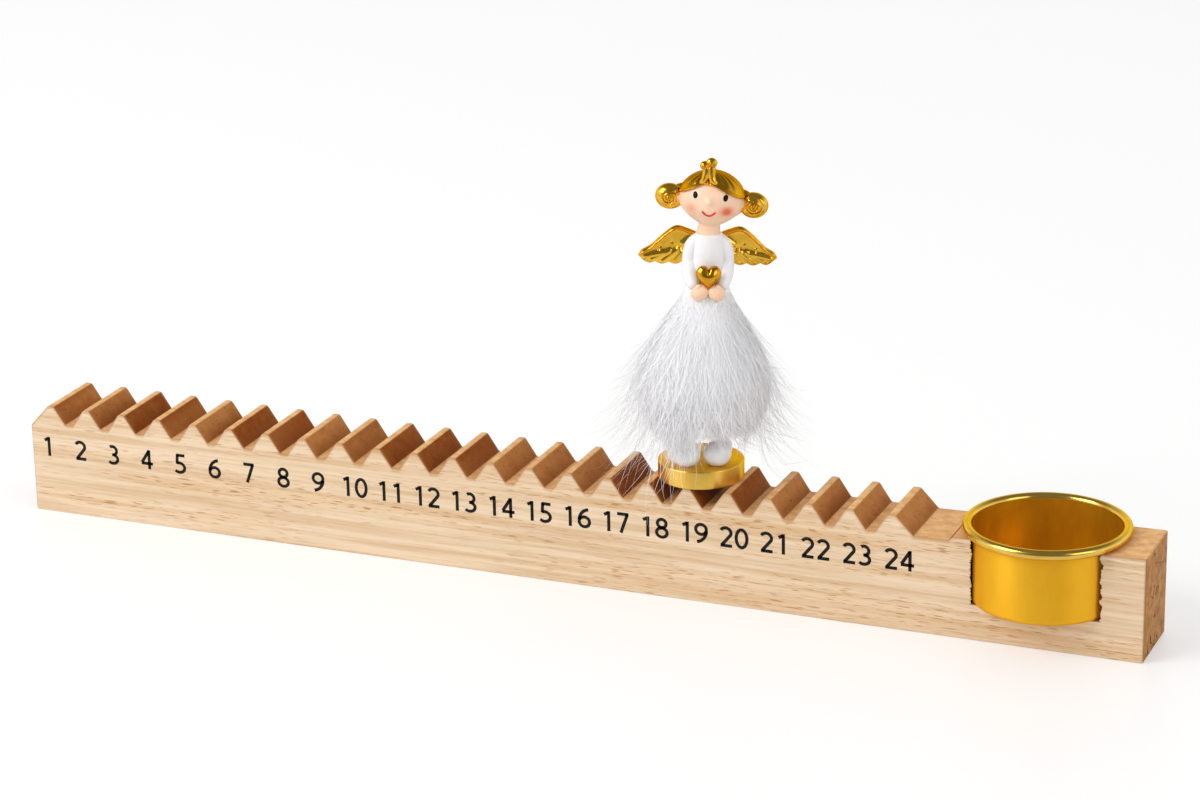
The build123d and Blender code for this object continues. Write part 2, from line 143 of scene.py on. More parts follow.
# The arrises and the edges near the ends are drawn towards a mid brown.
arris_share = add_node(tree, "ShaderNodeAttribute", attribute_name="arris").outputs["Fac"]
colour = blended(tree, sum_of(tree, "MULTIPLY", arris_share, 0.55), colour, (0.46, 0.22, 0.08, 1))
tree.links.new(colour, shader.inputs["Base Color"])
dented(tree, shader, sum_of(tree, "ADD", streak, mottle), 0.00012, 0.35)


def grid(points):
    """Points and four-sided faces over rows of points that follow one another, each row a closed ring."""
    rows, count = points.shape[:2]
    index = np.arange(rows * count).reshape(rows, count)
    index = np.concatenate([index, index[:, :1]], axis=1)
    faces = np.stack([index[:-1, :-1], index[:-1, 1:], index[1:, 1:], index[1:, :-1]], axis=-1)
    return points.reshape(-1, 3), faces.reshape(-1, 4)


def shut(rings):
    """Rings with a point, the middle of the first and of the last ring, added before and after them."""
    ends = rings[[0, -1]].mean(axis=1, keepdims=True).repeat(rings.shape[1], axis=1)
    return np.concatenate([ends[:1], rings, ends[1:]])


def set_sharp(mesh, crease):
    """Smooth shading, with the edges that turn by more than crease degrees left sharp."""
    mesh.shade_smooth()
    mesh.set_sharp_from_angle(angle=np.radians(crease))


def add_object(name, data):
    """An object with this mesh, lamp or camera, put into the scene."""
    made = bpy.data.objects.new(name, data)
    bpy.context.scene.collection.objects.link(made)
    return made


def make_piece(name, shapes, finish, body, nodes=(), crease=40):
    """One mesh object of one or more grids of points in millimetres. Points that coincide become one, so that
    a row of equal points is a pole, and faces are turned outwards. It rides on a body and stands for nodes."""
    patches = [grid(shape) for shape in shapes]
    starts = np.cumsum([0] + [len(points) for points, faces in patches])
    points = np.concatenate([points for points, faces in patches]) / 1000
    faces = np.concatenate([faces + start for (_, faces), start in zip(patches, starts)])
    mesh = bpy.data.meshes.new(name)
    mesh.from_pydata(points.tolist(), [], faces.tolist())
    shape = bmesh.new()
    shape.from_mesh(mesh)
    bmesh.ops.remove_doubles(shape, verts=shape.verts, dist=1e-6)
    bmesh.ops.recalc_face_normals(shape, faces=shape.faces)
    shape.to_mesh(mesh)
    shape.free()
    set_sharp(mesh, crease)
    mesh.materials.append(finish)
    piece = add_object(name, mesh)
    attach(piece, body)
    if nodes:
        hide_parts(*nodes)
    return piece


def eased(line, cut):
    """A line of corners with its inner corners rounded: from cut before each corner to cut after it, the curve
    is (1-u)^2 of the first point, 2u(1-u) of the corner and u^2 of the last."""
    before, after = line[:-2] - line[1:-1], line[2:] - line[1:-1]
    before *= cut / np.linalg.norm(before, axis=1, keepdims=True)
    after *= cut / np.linalg.norm(after, axis=1, keepdims=True)
    u = np.linspace(0, 1, 4)[None, :, None]
    curves = line[1:-1, None] + (1 - u) ** 2 * before[:, None] + u**2 * after[:, None]
    return np.concatenate([line[:1], curves.reshape(-1, line.shape[1]), line[-1:]])


def joined(*parts):
    """Points from their coordinates, each a number, a row, a column or a whole grid."""
    return np.stack(np.broadcast_arrays(*parts), axis=-1)


tooth_x = first_tooth - bar_end + tooth_pitch * np.arange(tooth_count)
half_pitch = tooth_pitch / 2
corners = np.zeros((tooth_count, 4, 2))
corners[..., 0] = [-tooth_flat, tooth_flat, half_pitch - notch_flat, half_pitch + notch_flat]
corners[..., 0] += tooth_x[:, None]
corners[..., 1] = [bar_height, bar_height, notch_z, notch_z]
corners += chance.normal(0, 0.05, corners.shape) * [1, 0.6]
corners[..., 1] = np.minimum(corners[..., 1], bar_height)
sawn_edge = np.concatenate([[[-bar_end, left_end_z]], corners.reshape(-1, 2)[:-2], ragged_deck])
sawn_edge = eased(sawn_edge, 0.55)


def bar_sections():
    """Upright sections of the bar one after another along x, each a rectangle with rounded corners as high as
    the sawn edge at that x. Towards both ends its sides and foot draw in by a quarter circle."""
    quarter = np.linspace(0, np.pi / 2, 6)
    end_x, end_inset = bar_end - end_round * (1 - np.cos(quarter)), end_round * (1 - np.sin(quarter))
    x = np.concatenate([-end_x, sawn_edge[1:-1, 0], end_x[::-1]])
    inset = np.concatenate([end_inset, np.zeros(len(sawn_edge) - 2), end_inset[::-1]])
    height = np.interp(x, sawn_edge[:, 0], sawn_edge[:, 1])[:, None, None]
    reach = (bar_depth / 2 - arris - inset)[:, None, None]
    sweep = np.radians(np.array([270, 180, 90, 0])[:, None] - np.linspace(0, 90, 5))
    sweep = np.pad(sweep, ((0, 0), (1, 1)), "edge")
    run = np.zeros_like(sweep)
    run[:, 0], run[:, -1] = -0.8, 0.8
    y = np.array([-1, -1, 1, 1])[:, None] * reach + arris * np.cos(sweep) + run * np.sin(sweep)
    z = np.where(np.array([0, 1, 1, 0])[:, None], height - arris, arris + inset[:, None, None])
    z = z + arris * np.sin(sweep) - run * np.cos(sweep)
    return joined(x[:, None, None], y, z).reshape(len(x), -1, 3)


def pocket_bore():
    """The bored pocket as a drum: its radius is the bit's, plus torn bites that depend on the height and fade
    by a bell curve of the angle from the four edges where the bore breaks out of the bar."""
    tear_angle, fray, bite_depth = 0.07, 0.55, [1.2, 1.2, 0.5, 0.5]
    around = np.linspace(-np.pi, np.pi, 360, endpoint=False)
    rise = np.linspace(pocket_z, deck_z + 2, 110)
    edge = np.arcsin(bar_depth / 2 / pocket_radius)
    from_axis = np.pi / 2 - np.abs(np.abs(around) - np.pi / 2)
    near_edge = np.exp(-(((from_axis - edge) / tear_angle) ** 2))
    quarter = (np.cos(around) < 0) * 2 + (np.sin(around) < 0)
    bite_z = np.linspace(rise[0], rise[-1], 15)
    bitten = np.stack([np.interp(rise, bite_z, bite) for bite in chance.random((4, len(bite_z)))], axis=1)
    torn = chance.random((len(rise), 4)) ** 2 * fray + bitten * bite_depth
    radius = pocket_radius + near_edge * torn[:, quarter]
    x, y = cup_x + radius * np.cos(around), radius * np.sin(around)
    return joined(x, y, rise[:, None])


notched_bar = make_piece("notched_bar_wood", [shut(bar_sections())], wood, "bar", ["notched_bar"])
bore = make_piece("bore", [shut(pocket_bore())], wood, "bar")
pocket = notched_bar.modifiers.new("pocket", "BOOLEAN")
pocket.operation, pocket.solver, pocket.object = "DIFFERENCE", "EXACT", bore
bpy.context.view_layer.update()
bored = bpy.data.meshes.new_from_object(notched_bar.evaluated_get(bpy.context.evaluated_depsgraph_get()))
cleaned = bmesh.new()
cleaned.from_mesh(bored)
sliver = 0.00003
bmesh.ops.dissolve_degenerate(cleaned, dist=sliver, edges=cleaned.edges[:])
bmesh.ops.triangulate(cleaned, faces=[face for face in cleaned.faces if len(face.verts) > 4])
cleaned.to_mesh(bored)
cleaned.free()
notched_bar.modifiers.clear()
notched_bar.data = bored
bpy.data.objects.remove(bore)
set_sharp(bored, 30)


def points_of(mesh):
    """A mesh's points in millimetres as one array."""
    at = np.zeros((len(mesh.vertices), 3), np.float32)
    mesh.vertices.foreach_get("co", at.ravel())
    return at * 1000


def mark(mesh, name, shares):
    """Keeps a share at each point of a mesh under a name, for its material to read."""
    mesh.attributes.new(name, "FLOAT", "POINT").data.foreach_set("value", shares.astype(np.float32))


at = points_of(bored)
edge_height = np.interp(at[:, 0], sawn_edge[:, 0], sawn_edge[:, 1])
on_arris = (at[:, 2] > edge_height - arris - 0.05) & (np.abs(at[:, 1]) > bar_depth / 2 - arris - 0.05)
on_arris |= (np.abs(at[:, 0]) > bar_end - 0.6) & (np.abs(at[:, 0]) < bar_end - 0.01)
mark(bored, "arris", on_arris)

# Day numbers: 1 to 24 printed in black along the front face, a little wider apart towards the cup.
# Each figure is drawn with one even stroke, a film of ink that stands a hair's breadth off the wood.
digit_height, digit_width, digit_stroke, digit_step, ink_proud = 6.0, 7.0, 0.96, 4.55, 0.02
numbers_z, middle_number_x, number_pitch, number_spread = 20.6, -34.4, 11.557, 0.0219


def arc(middle, radii, start, end, steps=28):
    """Points on part of a circle or an ellipse, from one angle to another in degrees."""
    angle = np.radians(np.linspace(start, end, steps))
    return np.array(middle) + np.array(radii) * joined(np.cos(angle), np.sin(angle))


six = [arc((0.50, 0.33), (0.465, 0.60), 97, 175), arc((0.265, 0.30), (0.225, 0.245), 0, 360)]
digit_strokes = {
    "0": [arc((0.25, 0.5), (0.225, 0.44), 0, 360)],
    "1": [[(0.30, 0.0), (0.30, 1.0)], [(0.30, 0.93), (0.10, 0.81)]],
    "2": [[*arc((0.235, 0.70), (0.22, 0.24), 155, -25), (0.07, 0.08)], [(0.01, 0.06), (0.50, 0.06)]],
    "3": [arc((0.21, 0.72), (0.20, 0.22), 125, -85), arc((0.205, 0.285), (0.24, 0.225), 95, -140)],
    "4": [[(0.37, 0.0), (0.37, 1.0)], [(0.37, 0.96), (0.02, 0.32)], [(0.0, 0.29), (0.54, 0.29)]],
    "5": [[(0.47, 0.94), (0.08, 0.94)], [(0.125, 0.97), (0.10, 0.48)],
          arc((0.20, 0.30), (0.25, 0.245), 115, -140)],
    "6": six,
    "7": [[(0.02, 0.94), (0.51, 0.94)], [(0.46, 0.95), (0.17, 0.0)]],
    "8": [arc((0.25, 0.735), (0.185, 0.205), 0, 360), arc((0.25, 0.28), (0.225, 0.225), 0, 360)],
    "9": [[0.5, 1.0] - stroke for stroke in six],
}


def ink_stroke(line):
    """A flat bar of ink carried along a line on the front face, half in the wood. A line that comes back to its
    start is joined there, and any other is shut at its ends."""
    loop = np.allclose(line[0], line[-1])
    line = line[:-1] if loop else line
    along = np.roll(line, -1, 0) - np.roll(line, 1, 0) if loop else np.gradient(line, axis=0)
    side = along[:, ::-1] * [-1, 1] * digit_stroke / 2 / np.linalg.norm(along, axis=1, keepdims=True)
    edges = np.stack([line + side, line - side, line - side, line + side], axis=1)
    depth = -bar_depth / 2 + ink_proud * np.array([-1, -1, 2, 2])
    rings = joined(edges[..., 0], depth, edges[..., 1])
    return np.concatenate([rings, rings[:1]]) if loop else shut(rings)


def two_toned(name, sockets, cells, first, second, low=0.3, high=0.7):
    """A material whose colour wanders between two by a noise with so many cells per metre."""
    made, tree, shader = new_finish(name, sockets)
    share = graded(tree, speckle(tree, cells), low, high)
    tree.links.new(blended(tree, share, first, second), shader.inputs["Base Color"])
    return made


ink = two_toned(
    "black_ink", {"Roughness": 0.6, "Specular IOR Level": 0.2}, (900, 900, 900),
    (0.004, 0.004, 0.004, 1), (0.016, 0.014, 0.012, 1),
)
films = []
for day in range(1, 25):
    for place, digit in enumerate(str(day)):
        from_middle = day - 12.5
        middle_x = middle_number_x + number_pitch * from_middle + number_spread * from_middle**2
        middle_x += digit_step * (place - (day > 9) / 2)
        for stroke in digit_strokes[digit]:
            line = (np.array(stroke) - [0.25, 0.5]) * [digit_width, digit_height] + [middle_x, numbers_z]
            films.append(ink_stroke(line))
make_piece("day_numbers", films, ink, "bar")

# Candle cup: drawn from thin brass-coloured sheet, with the rim rolled outwards into a bead.
# It stands loose on the pocket's floor and lifts straight out.
cup_bore, cup_wall, cup_height, cup_round, rim_roll = 20.2, 0.4, 22.5, 1.6, 1.4


def tone_group(name, low, high):
    """A shader group for a finish that is never quite even: two noises, one coarse and one fine, give a colour
    between Base and Deep, a roughness from low to high, and a height for fine relief."""
    group = bpy.data.node_groups.new(name, "ShaderNodeTree")
    inward = {"Base": "Color", "Deep": "Color", "Cells": "Vector"}
    outward = {"Color": "Color", "Roughness": "Float", "Height": "Float"}
    for way, sockets in (("INPUT", inward), ("OUTPUT", outward)):
        for label, kind in sockets.items():
            group.interface.new_socket(label, in_out=way, socket_type=f"NodeSocket{kind}")
    given, result = group.nodes.new("NodeGroupInput"), group.nodes.new("NodeGroupOutput")
    coarse = speckle(group, (1, 1, 1), 2.0)
    group.links.new(given.outputs["Cells"], coarse.node.inputs["Vector"].links[0].from_node.inputs["Scale"])
    fine = speckle(group, (2400, 2400, 2400), 2.0)
    share = graded(group, coarse, 0.38, 0.66, 0.0, 0.8)
    share = sum_of(group, "ADD", share, graded(group, fine, 0.5, 0.8, 0.0, 0.3))
    colour = blended(group, share, given.outputs["Base"], given.outputs["Deep"])
    group.links.new(colour, result.inputs["Color"])
    group.links.new(graded(group, fine, 0.3, 0.7, low, high), result.inputs["Roughness"])
    group.links.new(fine, result.inputs["Height"])
    return group


def toned_finish(name, group, sockets, base, deep, cells, depth):
    """A material whose colour, roughness and fine relief come from a tone group."""
    made, tree, shader = new_finish(name, sockets)
    tone = tree.nodes.new("ShaderNodeGroup")
    tone.node_tree = group
    tone.inputs["Base"].default_value, tone.inputs["Deep"].default_value = base, deep
    tone.inputs["Cells"].default_value = cells
    tree.links.new(tone.outputs["Color"], shader.inputs["Base Color"])
    tree.links.new(tone.outputs["Roughness"], shader.inputs["Roughness"])
    dented(tree, shader, tone.outputs["Height"], depth, 0.3)
    return made


satin_gold = tone_group("satin_gold_tone", 0.32, 0.40)
cup_inside = toned_finish(
    "cup_inside", satin_gold, {"Metallic": 0.88, "Specular Tint": (0.95, 0.58, 0.06, 1)},
    (0.88, 0.55, 0.030, 1), (0.78, 0.46, 0.020, 1), (260, 260, 120), 0.00003,
)
polished_gold = tone_group("polished_gold_tone", 0.14, 0.22)
cup_rim = toned_finish(
    "cup_rim", polished_gold, {"Metallic": 1.0, "Specular Tint": (0.95, 0.7, 0.25, 1)},
    (0.88, 0.60, 0.13, 1), (0.80, 0.50, 0.09, 1), (200, 200, 200), 0.00002,
)
cup_outside = toned_finish(
    "cup_outside", satin_gold, {"Metallic": 0.72, "Specular Tint": (0.95, 0.58, 0.06, 1)},
    (0.95, 0.52, 0.030, 1), (0.89, 0.44, 0.020, 1), (90, 90, 40), 0.00002,
)


def spin(finish, axis_x, strength):
    """Lets a finish shine as turned metal does: grooves round an upright axis draw highlights out along it."""
    tree, shader = finish.node_tree, finish.node_tree.nodes["Principled BSDF"]
    place, axis = add_node(tree, "ShaderNodeTexCoord").outputs["Object"], (axis_x / 1000, 0, 0)
    out = add_node(tree, "ShaderNodeVectorMath", {0: place, 1: axis}, operation="SUBTRACT").outputs[0]
    groove = add_node(tree, "ShaderNodeVectorMath", {0: (0, 0, 1), 1: out}, operation="CROSS_PRODUCT")
    tree.links.new(groove.outputs[0], shader.inputs["Tangent"])
    shader.inputs["Anisotropic"].default_value = strength
    shader.inputs["Anisotropic Rotation"].default_value = 0.25


spin(cup_outside, cup_x, 0.85)


def full_turn(sides):
    """Angles evenly spaced round a full turn."""
    return np.linspace(0, 2 * np.pi, sides, endpoint=False)


def turned(profile, sides, middle):
    """A profile of radius and height carried round an upright axis through middle."""
    around = full_turn(sides)
    radius, height = profile[:, :1], profile[:, 1:]
    return joined(radius * np.cos(around), radius * np.sin(around), height) + middle


cup_reach = cup_bore + cup_wall
roll_middle = (cup_bore + rim_roll, cup_height - rim_roll)
cup_profile = np.concatenate([
    [[0, cup_wall], [12, cup_wall]],
    arc((cup_bore - cup_round + cup_wall, cup_round), cup_round - cup_wall, -90, 0, 8),
    [[cup_bore, 10]],
    arc(roll_middle, rim_roll, 180, -90, 40),
    arc(roll_middle, rim_roll - cup_wall, -90, 180, 30),
    [[cup_reach, 10]],
    arc((cup_reach - cup_round, cup_round), cup_round, 0, -90, 10),
    [[12, 0], [0, 0]],
])
candle_cup = turned(cup_profile, 180, (cup_x, 0, pocket_z))
cup = make_piece("candle_cup_metal", [candle_cup], cup_inside, "cup", ["candle_cup"]).data
cup.materials.append(cup_outside)
cup.materials.append(cup_rim)
middle = np.zeros((len(cup.polygons), 3), np.float32)
cup.polygons.foreach_get("center", middle.ravel())
middle = middle * 1000 - [cup_x, 0, pocket_z]
from_axis = np.hypot(middle[:, 0], middle[:, 1])
on_rim = (middle[:, 2] > cup_height - 2 * rim_roll - 0.05) & (from_axis > cup_bore + 0.02)
on_outside = (from_axis > cup_bore + cup_wall / 2) | (middle[:, 2] < cup_wall / 2)
cup.polygons.foreach_set("material_index", np.where(on_rim, 2, np.where(on_outside, 1, 0)).astype(np.int32))

# Figure base: a turned disc with a satin gold finish, which stands on three teeth.
# The figure is turned a little to the right on the bar, and above the disc it leans a little to the right.
disc_radius, disc_height, figure_tooth = 12.1, 5.2, 17
figure_turn, figure_lean = np.radians(22.7), np.radians(2.4)
figure_foot = np.array([tooth_x[figure_tooth], 0, bar_height + disc_height])
figure_side = np.array([np.cos(figure_turn), np.sin(figure_turn), 0])
figure_back = np.array([-np.sin(figure_turn), np.cos(figure_turn), 0])
upright = np.array([0, 0, 1.0])
figure_axes = np.stack([
    np.cos(figure_lean) * figure_side - np.sin(figure_lean) * upright,
    figure_back,
    np.sin(figure_lean) * figure_side + np.cos(figure_lean) * upright,
])


def on_figure(points):
    """Points given as right, back and up from the middle of the disc's top, put on the leaning figure."""
    return figure_foot + points @ figure_axes


def on_disc(points):
    """Points given as right, back and up from the middle of the disc's top, put on the level disc."""
    return figure_foot + points @ np.stack([figure_side, figure_back, upright])


disc_gold = toned_finish(
    "disc_gold", satin_gold, {"Metallic": 1.0, "Specular Tint": (0.95, 0.62, 0.12, 1)},
    (0.96, 0.62, 0.12, 1), (0.90, 0.54, 0.08, 1), (300, 300, 300), 0.00003,
)
spin(disc_gold, tooth_x[figure_tooth], 0.8)
disc_profile = np.concatenate([
    [[0, 0], [disc_radius - 1.5, 0]],
    arc((disc_radius - 0.4, -0.4), 0.4, 90, 0, 6),
    arc((disc_radius - 0.3, 0.3 - disc_height), 0.3, 0, -90, 5),
    [[0, -disc_height]],
])
disc = on_disc(turned(disc_profile, 120, (0, 0, 0)))
make_piece("figure_base_disc", [disc], disc_gold, "figure", ["figure_base"])

# Shoes, legs and lower body: round shoes in thick white gloss paint stand on the disc.
# The skin-coloured legs go up through them into the cone that carries the feathers, and hardly show.
enamel_tone = tone_group("enamel_tone", 0.16, 0.26)
white_enamel = toned_finish(
    "white_enamel", enamel_tone, {"Coat Weight": 0.3, "Coat Roughness": 0.1},
    (0.92, 0.92, 0.935, 1), (0.88, 0.88, 0.90, 1), (160, 160, 160), 0.00004,
)
skin_paint = toned_finish(
    "skin_paint", enamel_tone, {"Specular IOR Level": 0.4},
    (0.97, 0.66, 0.45, 1), (0.95, 0.59, 0.39, 1), (140, 140, 140), 0.00003,
)
both_sides = (("left", -1), ("right", 1))


def ball(middle, radii, turn=0.0):
    """An ellipsoid by latitude and longitude, turned about its own front-to-back axis."""
    rise = np.linspace(-np.pi / 2, np.pi / 2, 28)[:, None]
    around = full_turn(40)
    x, y = np.cos(rise) * np.cos(around) * radii[0], np.cos(rise) * np.sin(around) * radii[1]
    z = np.sin(rise) * radii[2]
    return joined(x * np.cos(turn) + z * np.sin(turn), y, z * np.cos(turn) - x * np.sin(turn)) + middle


for side, sign in both_sides:
    shoe = [ball((sign * 4.3, -5.8, 3.2), (4.0, 3.7, 3.7)), ball((sign * 5.5, -2.4, 3.7), (3.2, 3.9, 3.9))]
    for toe_or_heel in shoe:
        toe_or_heel[..., 2] = np.maximum(toe_or_heel[..., 2], 0.02)
    shoe = [on_disc(toe_or_heel) for toe_or_heel in shoe]
    make_piece(f"{side}_shoe_enamel", shoe, white_enamel, "figure", [f"{side}_shoe"])
    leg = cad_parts[f"{side}_leg"].data
    leg.materials.clear()
    leg.materials.append(skin_paint)
lower_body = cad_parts["lower_body"].data
lower_body.materials.clear()
lower_body.materials.append(white_enamel)

# Bodice and sleeves: the cast upper body in white gloss paint, its arms brought forward.
# It stands on the lower body, and the feathers are wrapped round its waist.
waist_z, collar_z = 48.5, 65.6


def smooth_line(points, steps):
    """A curve through the points: from each to the next a cubic whose slope at a point is half the step between
    that point's neighbours."""
    points = np.asarray(points, float)
    ends = np.concatenate([2 * points[:1] - points[1:2], points, 2 * points[-1:] - points[-2:-1]])
    place = np.linspace(0, len(points) - 1, steps)
    near = np.minimum(place.astype(int), len(points) - 2)
    u = (place - near)[:, None]
    a, b, c, d = (ends[near + step] for step in range(4))
    return b + 0.5 * u * (c - a + u * (2 * a - 5 * b + 4 * c - d + u * (3 * (b - c) + d - a)))


def tube(points, steps, sides, facing, ends):
    """A round profile carried along a smooth line. Each point is a place and a radius, and over the given share
    of the line at both ends the radius shrinks by a quarter circle to nothing."""
    line = smooth_line(points, steps)
    along = np.gradient(line[:, :3], axis=0)
    across = np.cross(along, facing)
    across /= np.linalg.norm(across, axis=1, keepdims=True)
    out = np.cross(across, along)
    out /= np.linalg.norm(out, axis=1, keepdims=True)
    share = np.linspace(0, 1, steps)
    from_end = np.clip(1 - np.minimum(share, 1 - share) / ends, 0, 1)
    radius = (line[:, 3] * np.sqrt(1 - from_end**2))[:, None, None]
    around = full_turn(sides)[None, :, None]
    return line[:, None, :3] + radius * (np.cos(around) * across[:, None] + np.sin(around) * out[:, None])


def level_rings(sizes, steps, sides):
    """Level ellipses one above another, with height, half width and half depth following a smooth line."""
    height, width, depth = smooth_line(sizes, steps).T[..., None]
    around = full_turn(sides)
    return joined(width * np.cos(around), depth * np.sin(around), height)


bodice_sizes = [
    (waist_z, 5.5, 4.5), (waist_z + 5, 5.0, 4.1), (waist_z + 9.4, 4.65, 3.8), (waist_z + 13, 4.55, 3.7),
    (collar_z - 2, 4.35, 3.6), (collar_z - 0.6, 3.9, 3.5), (collar_z, 3.3, 3.1),
]
bodice = shut(level_rings(bodice_sizes, 50, 72))
make_piece("bodice", [on_figure(bodice)], white_enamel, "figure", ["torso"])
arm = np.array([
    (1.2, 0.1, -1.9, 1.5), (3.3, 0.1, -2.4, 1.9), (4.7, 0.1, -4.4, 2.05),
    (5.15, 0, -8.3, 2.05), (4.85, -2.3, -11.5, 2.0), (3.6, -5.1, -14.5, 1.75),
])
for side, sign in both_sides:
    sleeve = on_figure(tube(arm * [sign, 1, 1, 1] + [0, 0, collar_z, 0], 64, 36, (1.0, 0, 0), 0.06))
    make_piece(f"{side}_sleeve_enamel", [sleeve], white_enamel, "figure", [f"{side}_sleeve"])

# Hands and heart: skin-coloured mitten hands, cast with the arms, hold a plump gold heart.
# The heart is a small plated casting, glued between the hands and the bodice.
plated_tone = tone_group("plated_gold_tone", 0.12, 0.20)
plated_gold = toned_finish(
    "plated_gold", plated_tone, {"Metallic": 1.0, "Specular Tint": (0.9, 0.55, 0.08, 1)},
    (0.92, 0.54, 0.06, 1), (0.82, 0.44, 0.035, 1), (420, 420, 420), 0.00004,
)
# A darker copy of the same plating, with a darker edge tint, for the heart and the hair cap: painted shade for
# the dark reflections they show.
gold_with_painted_shade = toned_finish(
    "gold_with_painted_shade", plated_tone, {"Metallic": 1.0, "Specular Tint": (0.5, 0.28, 0.04, 1)},
    (0.80, 0.41, 0.03, 1), (0.69, 0.33, 0.02, 1), (420, 420, 420), 0.00004,
)
for side, sign in both_sides:
    palm = ball((sign * 2.25, -6.5, collar_z - 15.3), (2.6, 2.1, 2.1), sign * 0.55)
    thumb = ball((sign * 3.0, -7.3, collar_z - 13.9), (0.8, 0.75, 1.35), sign * -0.6)
    hand = [on_figure(palm), on_figure(thumb)]
    make_piece(f"{side}_hand_paint", hand, skin_paint, "figure", [f"{side}_hand"])


def plump_heart(width, height, depth):
    """From back to front, closed curves that swell and shrink as a half circle does. Each is a heart, sin^3
    across and 13 cos - 3.8 cos 2 - 2 cos 3 - cos 4 up, drawn towards an ellipse near front and back, with two
    round lobes and a cleft between them."""
    lean = np.linspace(-np.pi / 2, np.pi / 2, 41)[:, None]
    t = full_turn(96)
    across = np.sin(t) ** 3
    rise = (13 * np.cos(t) - 3.8 * np.cos(2 * t) - 2 * np.cos(3 * t) - np.cos(4 * t) + 2.0) / 14
    share = np.cos(lean) ** 0.9
    x = np.cos(lean) * (share * across + (1 - share) * 0.8 * np.sin(t)) * width / 2
    z = np.cos(lean) * (share * rise + (1 - share) * 0.8 * np.cos(t)) * height / 2 + (1 - share) * 0.4
    cleft = 0.2 * np.exp(-((x / 1.1) ** 2)) * np.clip((z + 0.4) / 3.0, 0, 1) ** 2
    lobes = 0.15 * np.exp(-(((np.abs(x) - 1.5) / 2.0) ** 2) - ((z - 0.9) / 2.0) ** 2)
    y = np.sin(lean) * (depth / 2 + lobes - cleft)
    return joined(x, y, z)


heart = plump_heart(6.9, 7.2, 4.4) + [0, -6.3, collar_z - 11.2]
# The heart is drawn in the darker gold: painted shade.
make_piece("heart_plated", [on_figure(heart)], gold_with_painted_shade, "figure", ["heart"])

# Head: cast with its neck, ears and button nose in one, and painted skin colour.
# The cheeks are dusted pink, and the eyes and the smile are painted on.
head_width, head_depth, jaw_height, crown_height, neck_radius, neck_height = 17.9, 15.6, 6.2, 8.2, 3.0, 2.6
eye_apart, eye_z, eye_width, eye_height = 4.15, 9.3, 0.66, 0.88
head_turn, head_roll = np.radians(7.0), np.radians(3.3)
head_axes = np.array([
    [np.cos(head_roll) * np.cos(head_turn), -np.sin(head_turn), -np.sin(head_roll) * np.cos(head_turn)],
    [np.cos(head_roll) * np.sin(head_turn), np.cos(head_turn), -np.sin(head_roll) * np.sin(head_turn)],
    [np.sin(head_roll), 0, np.cos(head_roll)],
])


def on_head(points):
    """Points given as right, back and up from where the jaw meets the neck, put on the turned head."""
    return on_figure(points @ head_axes + [0, 0, collar_z + neck_height])


def girth(height, extra=0.0):
    """The head's girth at a height, as a share of its widest. Below the ears it is 1 less a share of the 1.75th
    power of the way down to the neck, and above them it is that of half an ellipsoid."""
    down = np.clip(1 - height / jaw_height, 0, 1)
    rise = np.clip((height - jaw_height) / (crown_height + extra), 0, 1)
    jaw = 1 - (1 - 2 * neck_radius / head_width) * down**1.75
    return np.where(height < jaw_height, jaw, np.sqrt(1 - rise**2))


def skull(height, around, extra=0.0):
    """Points on the head, made larger by extra: at each height a level ellipse of the head's girth there."""
    size = girth(height, extra)
    x, y = size * (head_width / 2 + extra) * np.cos(around), size * (head_depth / 2 + extra) * np.sin(around)
    return joined(x, y, height)


def face_at(across, height, lift):
    """The front of the head at a place across and up the face, lifted towards the viewer."""
    depth = head_depth / 2 * np.sqrt(girth(height) ** 2 - (2 * across / head_width) ** 2)
    return joined(across, -depth - lift, height)


crown_rise = crown_height * np.sin(np.linspace(0, np.pi / 2, 60))
rise = np.concatenate([np.linspace(0, jaw_height, 50)[:-1], jaw_height + crown_rise])
around = full_turn(160)
head = skull(rise[:, None], around)
nose_z, nose_proud, nose_wide, nose_high = 8.1, 0.9, 1.0, 0.95
nose = nose_proud * np.exp(-((head[..., 0] / nose_wide) ** 2) - ((head[..., 2] - nose_z) / nose_high) ** 2)
head[..., 1] -= np.where(head[..., 1] < 0, nose, 0)
neck_rise = np.linspace(-3.4, 0, 12)[:-1, None]
neck_flare = (neck_rise / -neck_height) ** 2
neck_x, neck_y = (neck_radius + 0.3 * neck_flare) * np.cos(around), (2.61 + 0.5 * neck_flare) * np.sin(around)
head = shut(np.concatenate([joined(neck_x, neck_y, neck_rise), head]))
ears = [ball((sign * 9.0, -0.4, 6.4), (1.25, 1.0, 1.35)) for sign in (-1, 1)]
face_paint, tree, shader = new_finish("face_paint", {"Roughness": 0.3, "Specular IOR Level": 0.4})
blush = add_node(tree, "ShaderNodeAttribute", attribute_name="blush").outputs["Fac"]
skin_tone = graded(tree, speckle(tree, (140, 140, 140)), 0.4, 0.65)
skin = blended(tree, skin_tone, (0.97, 0.67, 0.47, 1), (0.95, 0.61, 0.42, 1))
tree.links.new(blended(tree, blush, skin, (0.82, 0.17, 0.09, 1)), shader.inputs["Base Color"])
dented(tree, shader, speckle(tree, (1800, 1800, 1800)), 0.00003, 0.2)
head = [on_head(shape) for shape in (head, *ears)]
head_mesh = make_piece("head_paint", head, face_paint, "figure", ["head"]).data
on_face = (points_of(head_mesh) - figure_foot) @ figure_axes.T - [0, 0, collar_z + neck_height]
on_face = on_face @ head_axes.T
across, back, up = on_face.T
rouge = 0
for strength, cheek_x, cheek_z, wide, high in ((0.55, -4.9, 5.6, 1.4, 1.2), (1.3, 4.8, 5.5, 1.5, 1.3)):
    rouge = rouge + strength * np.exp(-(((across - cheek_x) / wide) ** 2) - ((up - cheek_z) / high) ** 2)
